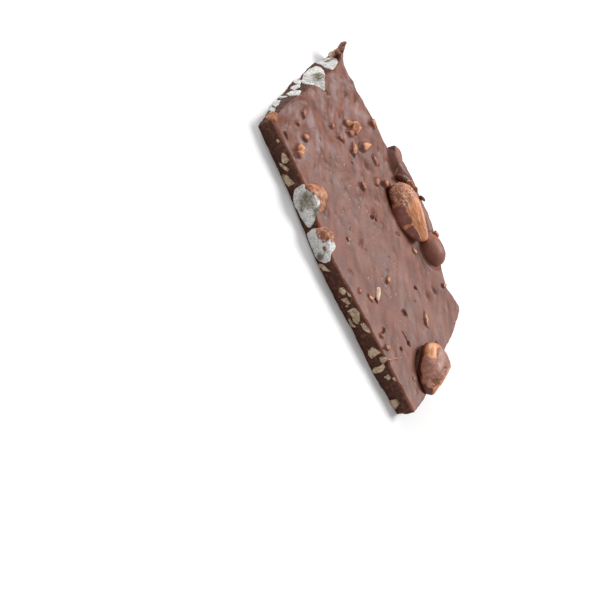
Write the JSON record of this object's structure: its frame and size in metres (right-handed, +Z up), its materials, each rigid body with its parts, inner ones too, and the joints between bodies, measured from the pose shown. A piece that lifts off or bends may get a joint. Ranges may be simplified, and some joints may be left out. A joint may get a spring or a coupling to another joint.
{
  "type": "rocky road shard",
  "caption": "Hand-broken shard of milk chocolate rocky road with whole almonds and coated nuts in its face and marshmallows and chopped nuts in its broken edges.",
  "frame": {"origin": "middle of the footprint, on the flat underside that the shard lies on", "axes": "+X along the long front edge, +Y from the front edge to the far edge, +Z up through the thickness"},
  "size_m": [0.15, 0.0711, 0.0172],
  "materials": {
    "milk_chocolate": "set milk chocolate, satin with a soft broad sheen",
    "coated_nut": "smooth chocolate coat, satin",
    "roasted_almond": "wrinkled roasted skin, partly coated in chocolate",
    "marshmallow": "torn sugar foam, matt",
    "chopped_nut": "broken nut, matt"
  },
  "bodies": {
    "root": {"slab": "milk_chocolate", "almond_rear": "roasted_almond", "almond_right": "roasted_almond", "almond_buried": "coated_nut", "nut_round": "coated_nut", "nut_small": "roasted_almond", "marshmallow_front_1": "marshmallow", "marshmallow_front_2": "marshmallow", "marshmallow_left_1": "marshmallow", "marshmallow_left_2": "marshmallow", "chip_front_1": "chopped_nut", "chip_front_2": "chopped_nut", "chip_front_3": "chopped_nut", "chip_front_4": "chopped_nut", "chip_corner": "chopped_nut"}
  },
  "joints": []
}
